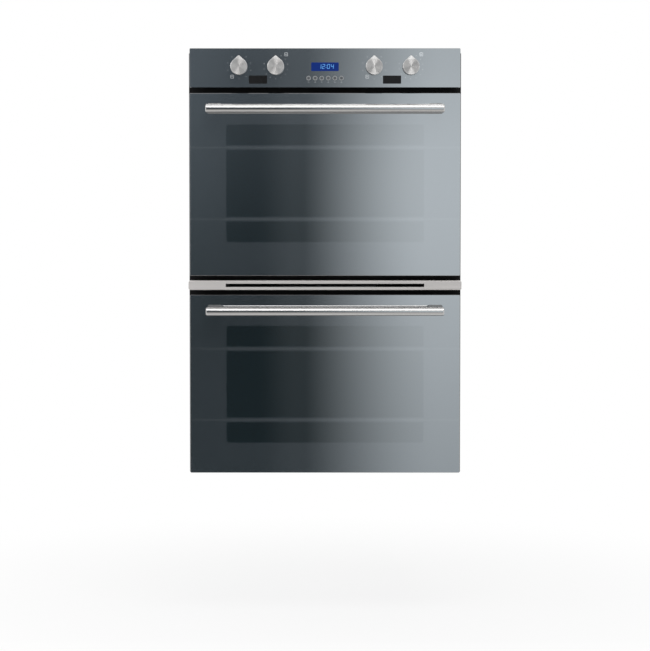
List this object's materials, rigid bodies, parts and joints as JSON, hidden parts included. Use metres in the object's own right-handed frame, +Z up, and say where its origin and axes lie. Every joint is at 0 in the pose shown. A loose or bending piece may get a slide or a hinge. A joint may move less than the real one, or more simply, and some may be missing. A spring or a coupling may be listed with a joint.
{
  "type": "wall oven",
  "caption": "Built-in double wall oven with a mirrored control panel, drop-down mirrored glass doors, bar handles and a slotted vent trim between the doors.",
  "frame": {"origin": "middle of the base pan's underside", "axes": "+Z up, -Y out of the front towards the user, +X to the user's right"},
  "size_m": [0.768, 0.6845, 1.198],
  "materials": {
    "mirror_glass": "half-mirrored smoked float glass",
    "clear_glass": "clear heat-reflecting glass",
    "stainless": "brushed along its length",
    "knob_steel": "spun face",
    "button_steel": "satin",
    "black_enamel": "black, low gloss",
    "galvanised": "zinc-coated sheet",
    "oven_enamel": "dark speckled enamel",
    "chromed_wire": "bright wire",
    "gasket_rubber": "matt",
    "element_sheath": "dull metal sheath",
    "fan_aluminium": "pressed sheet",
    "hinge_steel": "plain",
    "motor_paint": "dull black",
    "switch_plastic": "moulded",
    "display_plastic": "dark lens",
    "lamp_glass": "ribbed lens",
    "mineral_wool": "mineral wool blanket"
  },
  "bodies": {
    "chassis": {"back_panel": "galvanised", "base_elements": "element_sheath", "base_pan": "galvanised", "blower_housing": "galvanised", "blower_motor": "motor_paint", "control_glass": "mirror_glass", "control_tray": "black_enamel", "display_modules": "display_plastic", "fan_motors": "motor_paint", "front_frame": "black_enamel", "hinge_arms": "hinge_steel", "insulation": "mineral_wool", "lower_baking_tray": "oven_enamel", "lower_cavity": "oven_enamel", "lower_fan_cover": "oven_enamel", "lower_gasket": "gasket_rubber", "lower_grill_element": "element_sheath", "lower_rack_ladders": "chromed_wire", "lower_ring_element": "element_sheath", "lower_wire_rack": "chromed_wire", "mid_deck": "galvanised", "oven_lamps": "lamp_glass", "side_panels": "galvanised", "switch_blocks": "switch_plastic", "terminal_box": "switch_plastic", "top_cover": "galvanised", "trim_bar": "stainless", "upper_baking_tray": "oven_enamel", "upper_cavity": "oven_enamel", "upper_fan_cover": "oven_enamel", "upper_gasket": "gasket_rubber", "upper_grill_element": "element_sheath", "upper_rack_ladders": "chromed_wire", "upper_ring_element": "element_sheath", "upper_wire_rack": "chromed_wire"},
    "upper_door": {"upper_door_glass": "mirror_glass", "upper_door_pan": "black_enamel", "upper_door_panes": "clear_glass", "upper_hinge_channels": "hinge_steel", "upper_handle_bar": "stainless", "upper_handle_posts": "stainless"},
    "lower_door": {"lower_door_glass": "mirror_glass", "lower_door_pan": "black_enamel", "lower_door_panes": "clear_glass", "lower_hinge_channels": "hinge_steel", "lower_handle_bar": "stainless", "lower_handle_posts": "stainless"},
    "upper_mode_dial": {"upper_mode_knob": "knob_steel"},
    "upper_heat_dial": {"upper_heat_knob": "knob_steel"},
    "lower_mode_dial": {"lower_mode_knob": "knob_steel"},
    "lower_heat_dial": {"lower_heat_knob": "knob_steel"},
    "manual_key": {"manual_button": "button_steel"},
    "timer_key": {"timer_button": "button_steel"},
    "duration_key": {"duration_button": "button_steel"},
    "end_time_key": {"end_time_button": "button_steel"},
    "minus_key": {"minus_button": "button_steel"},
    "plus_key": {"plus_button": "button_steel"},
    "upper_fan": {"upper_fan_impeller": "fan_aluminium"},
    "lower_fan": {"lower_fan_impeller": "fan_aluminium"},
    "cooling_fan": {"blower_wheel": "fan_aluminium"}
  },
  "joints": [
    {"name": "upper_door_hinge", "type": "hinge", "parent": "chassis", "child": "upper_door", "pos_m": [0, -0.301, 0.574], "axis": [1, 0, 0], "range_deg": [0, 90], "stiffness_Nm_per_rad": 15, "springref_deg": -11.46},
    {"name": "lower_door_hinge", "type": "hinge", "parent": "chassis", "child": "lower_door", "pos_m": [0, -0.301, 0.017], "axis": [1, 0, 0], "range_deg": [0, 90], "stiffness_Nm_per_rad": 15, "springref_deg": -11.46},
    {"name": "upper_mode_turn", "type": "hinge", "parent": "chassis", "child": "upper_mode_dial", "pos_m": [-0.241, -0.3165, 1.1464], "axis": [0, 1, 0], "continuous": true},
    {"name": "upper_heat_turn", "type": "hinge", "parent": "chassis", "child": "upper_heat_dial", "pos_m": [-0.138, -0.3165, 1.1464], "axis": [0, 1, 0], "range_deg": [0, 285]},
    {"name": "lower_mode_turn", "type": "hinge", "parent": "chassis", "child": "lower_mode_dial", "pos_m": [0.138, -0.3165, 1.1464], "axis": [0, 1, 0], "continuous": true},
    {"name": "lower_heat_turn", "type": "hinge", "parent": "chassis", "child": "lower_heat_dial", "pos_m": [0.241, -0.3165, 1.1464], "axis": [0, 1, 0], "range_deg": [0, 285]},
    {"name": "manual_press", "type": "slide", "parent": "chassis", "child": "manual_key", "axis": [0, 1, 0], "range_m": [0, 0.0015], "stiffness_N_per_m": 300},
    {"name": "timer_press", "type": "slide", "parent": "chassis", "child": "timer_key", "axis": [0, 1, 0], "range_m": [0, 0.0015], "stiffness_N_per_m": 300},
    {"name": "duration_press", "type": "slide", "parent": "chassis", "child": "duration_key", "axis": [0, 1, 0], "range_m": [0, 0.0015], "stiffness_N_per_m": 300},
    {"name": "end_time_press", "type": "slide", "parent": "chassis", "child": "end_time_key", "axis": [0, 1, 0], "range_m": [0, 0.0015], "stiffness_N_per_m": 300},
    {"name": "minus_press", "type": "slide", "parent": "chassis", "child": "minus_key", "axis": [0, 1, 0], "range_m": [0, 0.0015], "stiffness_N_per_m": 300},
    {"name": "plus_press", "type": "slide", "parent": "chassis", "child": "plus_key", "axis": [0, 1, 0], "range_m": [0, 0.0015], "stiffness_N_per_m": 300},
    {"name": "upper_fan_spin", "type": "hinge", "parent": "chassis", "child": "upper_fan", "pos_m": [0, 0.14, 0.816], "axis": [0, 1, 0], "continuous": true},
    {"name": "lower_fan_spin", "type": "hinge", "parent": "chassis", "child": "lower_fan", "pos_m": [0, 0.14, 0.2545], "axis": [0, 1, 0], "continuous": true},
    {"name": "cooling_fan_spin", "type": "hinge", "parent": "chassis", "child": "cooling_fan", "pos_m": [0, -0.155, 0.541], "axis": [1, 0, 0], "continuous": true}
  ]
}
